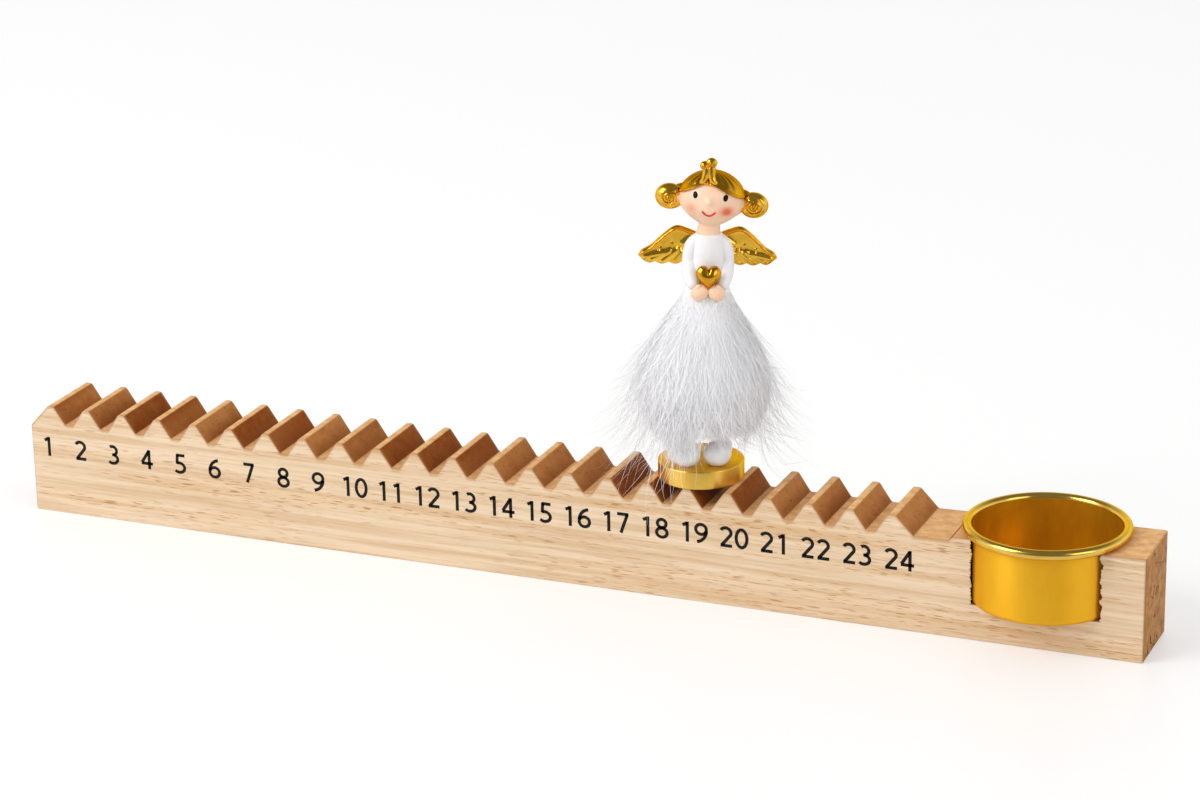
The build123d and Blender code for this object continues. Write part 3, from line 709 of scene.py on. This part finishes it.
mark(head_mesh, "blush", np.where(back < 0, np.clip(rouge, 0, 1), 0))

eye_black = two_toned(
    "eye_black", {"Roughness": 0.08, "Specular IOR Level": 0.1}, (1500, 1500, 1500),
    (0.003, 0.003, 0.003, 1), (0.010, 0.009, 0.009, 1),
)
out = np.linspace(0, 1, 10)[:, None]
turn = full_turn(36)
eyes = []
for sign in (-1, 1):
    across, up = sign * eye_apart + eye_width * out * np.cos(turn), eye_z + eye_height * out * np.sin(turn)
    front, behind = (face_at(across, up, swell * np.sqrt(1 - out**2)) for swell in (0.34, -0.2))
    eyes.append(on_head(np.concatenate([front, behind[::-1][1:]])))
make_piece("eyes", eyes, eye_black, "figure")
lip_red = two_toned(
    "lip_red", {"Roughness": 0.35}, (1500, 1500, 1500), (0.70, 0.006, 0.005, 1), (0.78, 0.015, 0.012, 1)
)
grin = np.linspace(-1, 1, 9)
lips = np.concatenate([face_at(1.85 * grin, 4.05 + 1.3 * grin**2, 0.04), np.full((9, 1), 0.28)], axis=1)
make_piece("smile", [on_head(tube(lips, 60, 12, (0, 1.0, 0), 0.05))], lip_red, "figure")

# Hair: plated gold like the wings. A smooth cap with a raised edge, parted over the forehead, a tuft of two
# locks that curl apart, two small curls on the forehead, and a coiled bun beside each ear.
peak_x, peak_z, side_z = -0.9, 13.2, 8.4


def hair_cap():
    """A shell over the head. Its lower edge is the hairline, an inverted V over the face and the nape behind,
    where height goes over from one to the other by a cubic. A half round bead follows the edge, the outside
    then rises to the crown in shallow combed waves, and the inside comes back down against the head."""
    around = full_turn(200)
    edge = np.full_like(around, 9.0)
    for _ in range(12):
        x = girth(edge) * head_width / 2 * np.cos(around)
        reach = np.where(x < peak_x, head_width / 2 + peak_x, head_width / 2 - peak_x)
        brow = peak_z - (peak_z - side_z) * np.abs(x - peak_x) / reach
        edge = 0.5 * edge + 0.5 * brow
    to_back = np.clip((np.sin(around) * head_depth / 2 + 0.3) / 2.2, 0, 1)
    edge = edge + (1.0 - edge) * to_back**2 * (3 - 2 * to_back)
    bead_rise, bead_out = (0.0, -0.28, -0.3, -0.1, 0.18, 0.45, 0.7), (0.02, 0.15, 0.5, 0.78, 0.86, 0.72, 0.62)
    bead = np.stack([skull(edge + lift, around, out) for lift, out in zip(bead_rise, bead_out)])
    climb = np.sin(np.linspace(0, np.pi / 2, 46))[:, None]
    combed = 0.6 + 0.07 * np.cos(22 * around) * (1 - climb**3) * np.clip(climb * 4, 0, 1)
    outside = skull(edge + 0.9 + (jaw_height + crown_height + 0.6 - edge - 0.9) * climb, around, combed)
    inside = skull(edge + 0.3 + (jaw_height + crown_height + 0.02 - edge - 0.3) * climb, around, 0.02)
    return np.concatenate([inside[::-1], bead, outside])


# The cap is drawn in the darker gold: painted shade.
make_piece("hair_cap_plated", [on_head(hair_cap())], gold_with_painted_shade, "figure", ["hair_cap"])


def coil(middle, radius, thick, hand):
    """A coil of hair seen from the front: an ellipsoid by latitude and longitude about its front-to-back axis.
    On the inner part of its front a groove winds inwards, about three turns that lie closer towards the eye."""
    lean = np.linspace(-np.pi / 2, np.pi / 2, 80)[:, None]
    around = full_turn(120)
    out = np.cos(lean)
    turns = np.interp(out, [0, 0.12, 0.30, 0.56, 1.0], [3.6, 3, 2, 1, 0.2]) - hand * around / (2 * np.pi)
    groove = np.exp(-(((turns - np.round(turns)) / 0.17) ** 2)) * np.clip((0.78 - out) / 0.2, 0, 1)
    y = thick / 2 * np.sin(lean) + (np.sin(lean) < 0) * groove * radius * 0.10
    return joined(radius * 1.08 * out * np.cos(around), y, radius * 0.96 * out * np.sin(around)) + middle


left_lock = [
    (-3.3, -5.2, 12.3, 0.5), (-2.4, -5.3, 13.2, 0.8), (-1.95, -5.0, 14.3, 1.0), (-1.8, -4.7, 15.6, 1.1),
    (-2.0, -4.4, 17.0, 1.1),
]
right_lock = [
    (1.5, -5.3, 12.5, 0.5), (0.5, -5.4, 13.2, 0.8), (-0.2, -5.0, 14.3, 1.05), (-0.45, -4.7, 15.8, 1.15),
    (-0.5, -4.4, 17.4, 1.2),
]
tuft = [tube(lock, 60, 28, (0, 1.0, 0.05), 0.1) for lock in (left_lock, right_lock)]
tuft += [coil((-2.35, -4.6, 17.3), 1.3, 2.5, 1), coil((-0.6, -4.6, 18.3), 1.4, 2.6, -1)]
fringe = (((-1.5, -5.35, 12.6), 0.5), ((0.0, -5.45, 12.4), -0.4))
tuft += [ball(middle, (0.8, 0.5, 0.6), lean) for middle, lean in fringe]
tuft = [on_head(shape) for shape in tuft]
make_piece("hair_tuft_plated", tuft, plated_gold, "figure", ["hair_tuft"])
for side, sign in both_sides:
    bun = coil((sign * 11.5, 0.8, jaw_height), 3.75, 5.6, -sign)
    strand = [(sign * 7.4, 1.4, 9.2, 1.2), (sign * 9.0, 1.4, 8.6, 1.3), (sign * 10.6, 1.2, 7.8, 1.2)]
    hair = [on_head(bun), on_head(tube(strand, 30, 24, (0, 1.0, 0), 0.12))]
    make_piece(f"{side}_bun_plated", hair, plated_gold, "figure", [f"{side}_bun"])

# Wings: plated gold castings glued to the back of the bodice, with a raised edge along the top and feathers
# in relief that end in scallops along the bottom.
wing_reach, wing_height, wing_low, wing_front, wing_thick = 19.1, 11.1, collar_z - 10.4, 2.6, 1.8
wing_top = [
    (0.0, 0.72), (0.14, 0.82), (0.29, 0.93), (0.47, 1.0),
    (0.64, 0.80), (0.82, 0.50), (0.95, 0.36), (1.0, 0.22),
]
wing_top = smooth_line(wing_top, 300)
scallop_ends = np.array([0.0, 0.20, 0.36, 0.56, 0.76, 0.93])
feathers = np.array([
    [(0.62, 0.30), (0.90, 0.20)], [(0.55, 0.34), (0.80, 0.12)], [(0.44, 0.38), (0.64, 0.08)],
    [(0.34, 0.42), (0.46, 0.08)], [(0.24, 0.46), (0.29, 0.10)], [(0.20, 0.74), (0.36, 0.54)],
    [(0.14, 0.62), (0.22, 0.36)],
])
pits = chance.uniform((0.30, 0.42), (0.78, 0.62), (16, 2)) - [0.0, 0.12] * np.array([[0], [1]]).repeat(8, 0)


def wing_grid():
    """Upright sections from the root to the tip, each a flattened ring between the bottom and the top outline.
    On its front stand the raised top edge and the feathers, each a bell curve of the distance from its line,
    of which the highest counts, less a few round pits. The back repeats them at half the height."""
    tip = 0.94 + 0.06 * np.sin(np.linspace(0, np.pi / 2, 14)[1:])
    u = np.concatenate([np.linspace(0.0, 0.94, 110), tip])[:, None]
    top = np.interp(u, wing_top[:, 0], wing_top[:, 1])
    scallop = np.clip((u - scallop_ends[:-1]) / np.diff(scallop_ends), 0, 1)
    bottom = np.interp(u, [0.0, 0.36, 0.56, 0.76, 0.93, 1.0], [0.22, 0.08, 0.06, 0.07, 0.10, 0.22])
    bottom = bottom - 0.06 * np.sin(np.pi * scallop).max(axis=1, keepdims=True)
    phi = full_turn(120)
    up = np.sign(np.cos(phi)) * np.abs(np.cos(phi)) ** 0.9
    thick = np.sign(np.sin(phi)) * np.abs(np.sin(phi)) ** 0.5
    rise = (top + bottom) / 2 + (top - bottom) / 2 * up
    place = joined(u * wing_reach, rise * wing_height)
    scale = np.array([wing_reach, wing_height])
    start, run = feathers[:, 0] * scale, (feathers[:, 1] - feathers[:, 0]) * scale
    offset = place[:, :, None] - start
    share = np.clip((offset * run).sum(-1) / (run**2).sum(-1), 0, 1)
    away = np.linalg.norm(offset - share[..., None] * run, axis=-1)
    ridge = 0.50 * np.exp(-((away / 0.75) ** 2)).max(axis=-1)
    edge = 0.85 * np.exp(-((((top - rise) * wing_height - 0.6) / 0.55) ** 2))
    from_pit = np.linalg.norm(place[:, :, None] - pits * scale, axis=-1)
    dents = 0.35 * np.exp(-((from_pit / 0.30) ** 2)).max(axis=-1)
    front, back = np.clip(-thick * 1.5, 0, 1), np.clip(thick * 1.5, 0, 1)
    relief = np.maximum(ridge, edge) - 0.3
    slim = np.clip((1.0 - u) / 0.05, 0.0, 1) ** 0.5
    swell = wing_thick / 2 * thick - front * (relief - dents) + back * relief / 2
    y = wing_front + wing_thick / 2 + slim * swell
    return joined(place[..., 0], y, wing_low + place[..., 1])


for side, sign in both_sides:
    wing = on_figure(shut(wing_grid() * [sign, 1, 1]))
    make_piece(f"{side}_wing_plated", [wing], plated_gold, "figure", [f"{side}_wing"])

# Feather skirt: white marabou plumes wound round the lower body below a smooth wrapped waist. Short down makes
# a dense bell, long barbs leave it in locks, and single hairs stray over the disc and the teeth.
soft = {"Roughness": 0.8, "Specular IOR Level": 0.05, "Sheen Weight": 0.4, "Sheen Roughness": 0.6}
scattering = {"Subsurface Weight": 0.8, "Subsurface Radius": (1, 1, 1), "Subsurface Scale": 0.003}
white_down = (120, 120, 60), (0.97, 0.97, 0.99, 1), (0.99, 0.99, 1.0, 1), 0.35, 0.65
down_white = two_toned("down_white", soft, *white_down)
down_bed = two_toned("down_bed", {**soft, **scattering}, *white_down)
fine = {"Roughness": 0.7, "Specular IOR Level": 0.1, "Sheen Weight": 0.3, "Sheen Roughness": 0.6}
wisp_with_painted_shade, tree, shader = new_finish("wisp_with_painted_shade", fine)
# Towards the tip the wisps turn grey: painted shade, as the real barbs are white all along.
to_tip = add_node(tree, "ShaderNodeAttribute", attribute_name="to_tip").outputs["Fac"]
uneven = graded(tree, speckle(tree, (300, 300, 300)), 0.3, 0.6, 0.7, 1.0)
tone = sum_of(tree, "MULTIPLY", graded(tree, to_tip, 0.2, 0.7), uneven)
tree.links.new(blended(tree, tone, (0.96, 0.96, 0.98, 1), (0.58, 0.575, 0.60, 1)), shader.inputs["Base Color"])
bell_z = np.array([-20, -2, 6, 10, 17, 24.2, 31.3, 37, 41.3, 45.6, 48.5, 50.5])
dense_radius = np.array([9, 10.5, 13, 15, 18.2, 18.8, 16.4, 13.4, 10.6, 7.9, 6.7, 6.1])
loose_radius = np.array([33.5, 33.5, 33, 31.5, 28, 23.5, 19.4, 15.6, 12.0, 8.8, 7.1, 6.3])
last_day_run, right_shoe_angle = 59.5, 5.25


def down_core():
    """The wound quills and underdown as one soft lumpy bell inside the barbs: level rings a little within the
    dense skirt, swollen by waves round and along it, and turned in below."""
    rise = np.linspace(50.5, 13.0, 80)[:, None]
    around = full_turn(150)
    fluffy = np.clip((47 - rise) / 10, 0, 1)
    within = 0.98 - 0.02 * fluffy - 0.1 * np.clip((22 - rise) / 9, 0, 1)
    radius = within * np.interp(rise, bell_z, dense_radius)
    waves = np.sin(7 * around + rise * 0.2) + np.sin(11 * around - rise * 0.33 + 1)
    waves = waves + np.sin(17 * around + rise * 0.5 + 2)
    radius = radius * (1 + 0.006 * waves * fluffy)
    rings = joined(radius * np.cos(around), radius * np.sin(around), rise)
    turned_in = rings[-1] * np.linspace(0.95, 0.3, 8)[:, None, None]
    turned_in[..., 2] = 13.0 + 3.0 * np.linspace(-0.1, 1, 8)[:, None]
    return np.concatenate([rings, turned_in])


core = on_figure(shut(down_core()))
make_piece("down_core", [core], down_bed, "figure", ["feather_skirt"], 180)


def fallen_lines(
    count, start_z, drop, inner, outer, loose, locks, sway, where=(0, 2 * np.pi), gather=(0.1, 0.6)
):
    """Middle lines of barbs. Each starts at a height in the bell and falls by its drop. On the way its share of
    the dense radius goes from inner to outer, part of it goes over to the loose radius, and its angle goes some
    of the way to its lock's and sways. It ends above the right shoe, the teeth and the cup's rim on day 24."""
    t = np.linspace(0, 1, 7)
    start = chance.uniform(*start_z, (count, 1))
    angle = chance.uniform(*where, (count, 1))
    over_shoe = np.clip(2.6 - np.abs(angle - right_shoe_angle) / 0.4, 0, 1)
    rise = start - np.minimum(chance.uniform(*drop, (count, 1)), start + 30 - 40 * over_shoe) * t
    lock = np.sort(chance.uniform(*where, locks))
    nearest = lock[np.clip(np.searchsorted(lock, angle), 0, locks - 1)]
    pull = chance.uniform(*gather, (count, 1)) * np.clip(1.2 - np.abs(nearest - angle) / 0.5, 0, 1)
    phase = chance.uniform(0, 2 * np.pi, (count, 1))
    angle = angle + (nearest - angle) * pull * t**1.5 + sway * np.sin(phase + 3.2 * t) * t
    begin, end = chance.uniform(*inner, (count, 1)), chance.uniform(*outer, (count, 1))
    apart = chance.uniform(*loose, (count, 1)) * t**1.3
    bell = (1 - apart) * np.interp(rise, bell_z, dense_radius) + apart * np.interp(rise, bell_z, loose_radius)
    radius = (begin + (end - begin) * t) * bell * (1 + 0.10 * apart * np.cos(angle) ** 2)
    lines = on_figure(np.stack([radius * np.cos(angle), radius * np.sin(angle), rise], axis=-1))
    over_bar = np.abs(lines[..., 1]) < bar_depth / 2 + 0.9
    over_cup = np.hypot(lines[..., 0] - cup_x + last_day_run, lines[..., 1]) < cup_bore + 2 * rim_roll + 5
    lines[..., 2] = np.where(over_bar | over_cup, np.maximum(lines[..., 2], bar_height + 0.4), lines[..., 2])
    return lines


def make_barbs(name, kinds, thickness, finish=down_white):
    """Barbs carried along many lines at once, each a flat strip with a keel below, full at the root and drawn
    out to a point. The strip's flat side looks out of the bell, tilted a little one way or the other."""
    lines = np.concatenate(kinds)
    count, steps = lines.shape[:2]
    thick = chance.uniform(*thickness, count)
    along = np.gradient(lines, axis=1)
    outward = (lines - figure_foot) * [1, 1, 0] / 20 + [0, 0, 0.35]
    level = np.cross(along, outward)
    level /= np.linalg.norm(level, axis=2, keepdims=True) + 1e-9
    raised = np.cross(level, along)
    raised /= np.linalg.norm(raised, axis=2, keepdims=True) + 1e-9
    tilt = chance.uniform(-0.25, 0.25, (count, 1, 1))
    across, out = np.cos(tilt) * level + np.sin(tilt) * raised, np.cos(tilt) * raised - np.sin(tilt) * level
    radius = thick[:, None] * (1 - 0.9 * np.linspace(0, 1, steps)[:-1] ** 1.5)
    side, keel = np.array([1, -1, 0])[:, None], np.array([0, 0, -0.5])[:, None]
    spread = side * across[:, :-1, None] + keel * out[:, :-1, None]
    rings = lines[:, :-1, None] + radius[..., None, None] * spread
    points = np.concatenate([rings.reshape(count, -1, 3), lines[:, -1:]], axis=1) / 1000
    ring = np.arange(3 * (steps - 1)).reshape(steps - 1, 3)
    following = np.roll(ring, -1, axis=1)
    quads = np.stack([ring[:-1], ring[1:], following[1:], following[:-1]], axis=-1).reshape(-1, 4)
    tips = np.stack([ring[-1], np.full(3, 3 * (steps - 1)), following[-1]], axis=-1)
    tris = np.concatenate([tips, [[0, 1, 2]]])
    first = (np.arange(count) * points.shape[1])[:, None, None]
    quads, tris = (quads + first).reshape(-1, 4), (tris + first).reshape(-1, 3)
    mesh = bpy.data.meshes.new(name)
    mesh.from_pydata(points.reshape(-1, 3).tolist(), [], quads.tolist() + tris.tolist())
    mesh.validate()
    mesh.shade_flat()
    to_tip = np.append(np.linspace(0, 1, steps)[:-1].repeat(3), 1.0)
    mark(mesh, "to_tip", np.tile(to_tip, count))
    mesh.materials.append(finish)
    barbs = add_object(name, mesh)
    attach(barbs, "figure")


for layer in range(2):
    short = fallen_lines(1900, (14, 50), (5, 14), (0.955, 0.975), (0.965, 0.995), (0, 0.12), 120, 0.35)
    make_barbs(f"underdown_{layer}", [short], (0.05, 0.09))
waist = fallen_lines(900, (42, 50.5), (3, 8), (0.95, 0.98), (0.98, 1.03), (0, 0.3), 150, 0.25)
hem = fallen_lines(1300, (11, 20), (5, 12), (0.80, 0.94), (0.80, 0.94), (0, 0.15), 60, 0.15)
fall = fallen_lines(1000, (11, 17), (9, 14), (0.40, 0.85), (0.40, 0.90), (0.0, 0.1), 30, 0.2, (3.3, 4.3))
make_barbs("waist_and_hem_down", [waist, hem, fall], (0.07, 0.11))
upper = fallen_lines(260, (34, 48), (9, 20), (0.95, 0.98), (0.98, 1.03), (0.1, 0.7), 60, 0.18)
lower = fallen_lines(420, (17, 34), (8, 17), (0.94, 0.98), (0.98, 1.03), (0.1, 0.7), 60, 0.15)
make_barbs("long_barbs", [upper, lower], (0.07, 0.10))
tight = {"gather": (0.5, 0.97)}
low = fallen_lines(430, (14, 34), (10, 30), (0.95, 0.98), (0.96, 1.03), (0.4, 1.0), 26, 0.2, **tight)
high = fallen_lines(130, (30, 46), (14, 34), (0.95, 0.98), (0.98, 1.05), (0.5, 1.0), 20, 0.25, **tight)
flown = fallen_lines(50, (24, 48), (6, 13), (0.95, 0.98), (1.03, 1.25), (0.2, 0.8), 20, 0.3)
make_barbs("wisps", [low, high, flown], (0.09, 0.14), wisp_with_painted_shade)

# Studio: a pale floor, a world that is white to the eye and in metal, a large soft lamp on the left and a
# weaker one on the right. The camera stands to the right of the bar's middle and looks down on it.
floor_paint, tree, shader = new_finish("floor_paint", {"Roughness": 0.4, "Specular IOR Level": 0.4})


def ray_kinds(tree):
    """Two masks: 1 for what the camera sees itself, and 1 for what shows in metal and glass."""
    rays = add_node(tree, "ShaderNodeLightPath").outputs
    return rays["Is Camera Ray"], sum_of(tree, "MAXIMUM", rays["Is Glossy Ray"], rays["Is Transmission Ray"])


by_eye, mirrored = ray_kinds(tree)
seen = sum_of(tree, "MAXIMUM", by_eye, mirrored)
tree.links.new(blended(tree, seen, (0.85, 0.85, 0.85, 1), (0.62, 0.62, 0.62, 1)), shader.inputs["Base Color"])
shader.inputs["Emission Color"].default_value = (1, 1, 1, 1)
place = add_node(tree, "ShaderNodeTexCoord").outputs["Object"]
depth = add_node(tree, "ShaderNodeSeparateXYZ", {0: place}).outputs["Y"]
near_glow, far_glow, eye_glow = 0.10, 0.18, 0.36
in_metal = sum_of(tree, "MULTIPLY", mirrored, graded(tree, depth, -0.35, -0.10, near_glow, far_glow))
on_view = sum_of(tree, "MULTIPLY", by_eye, eye_glow)
tree.links.new(sum_of(tree, "ADD", in_metal, on_view), shader.inputs["Emission Strength"])
floor_mesh = bpy.data.meshes.new("floor")
floor_mesh.from_pydata([(-6, -6, 0), (6, -6, 0), (6, 6, 0), (-6, 6, 0)], [], [(0, 1, 2, 3)])
floor_mesh.materials.append(floor_paint)
add_object("floor", floor_mesh)

world = bpy.data.worlds.new("studio")
world.use_nodes = True
bpy.context.scene.world = world
tree = world.node_tree
by_eye, mirrored = ray_kinds(tree)
heading = add_node(tree, "ShaderNodeTexCoord").outputs["Generated"]
front_wall = {0: heading, 1: (0.36, -0.85, 0.38)}
to_front = add_node(tree, "ShaderNodeVectorMath", front_wall, operation="DOT_PRODUCT").outputs["Value"]
overhead = add_node(tree, "ShaderNodeSeparateXYZ", {0: heading}).outputs["Z"]
dark = sum_of(tree, "MAXIMUM", graded(tree, to_front, 0.4, 0.85), graded(tree, overhead, 0.3, 0.75))
room = blended(tree, dark, (1, 1, 1, 1), (0.18, 0.18, 0.18, 1))
sky_colour = blended(tree, mirrored, (0.73, 0.73, 0.73, 1), room)
sky_colour = blended(tree, by_eye, sky_colour, (1, 1, 1, 1))
tree.links.new(sky_colour, tree.nodes["Background"].inputs["Color"])


def set_up(name, data, right, up, back, place):
    """Puts a lamp or the camera at a place, with its right, up and back turned as given."""
    pose = np.eye(4)
    pose[:, :3] = right, up, back, place
    made = add_object(name, data)
    made.matrix_world = pose.tolist()
    return made


def soft_lamp(name, place, aim, size, power):
    """A square soft lamp that faces a point."""
    lamp = bpy.data.lights.new(name, "AREA")
    lamp.size, lamp.energy = size, power
    back = np.array(place, float) - aim
    back /= np.linalg.norm(back)
    right = np.cross(upright, back)
    right /= np.linalg.norm(right)
    set_up(name, lamp, right, np.cross(back, right), back, place)


soft_lamp("left_lamp", (-0.9, -0.85, 1.05), (0, 0, 0.05), 0.9, 12.5)
soft_lamp("right_lamp", (1.2, -0.5, 0.7), (0.05, 0, 0.05), 0.7, 2.5)

azimuth, elevation, roll = np.radians([22.7445, 19.5035, -1.084])
ahead = np.array([-np.sin(azimuth), np.cos(azimuth), 0]) * np.cos(elevation) - upright * np.sin(elevation)
level = np.array([np.cos(azimuth), np.sin(azimuth), 0])
rise = np.cross(level, ahead)
view_right, view_up = np.cos(roll) * level + np.sin(roll) * rise, np.cos(roll) * rise - np.sin(roll) * level
lens = bpy.data.cameras.new("camera")
lens.sensor_width, lens.lens = 36.0, 110.83
camera_place = (0.3874, -0.9018, 0.3983)
bpy.context.scene.camera = set_up("camera", lens, view_right, view_up, -ahead, camera_place)
bpy.context.scene.view_settings.view_transform = "Standard"
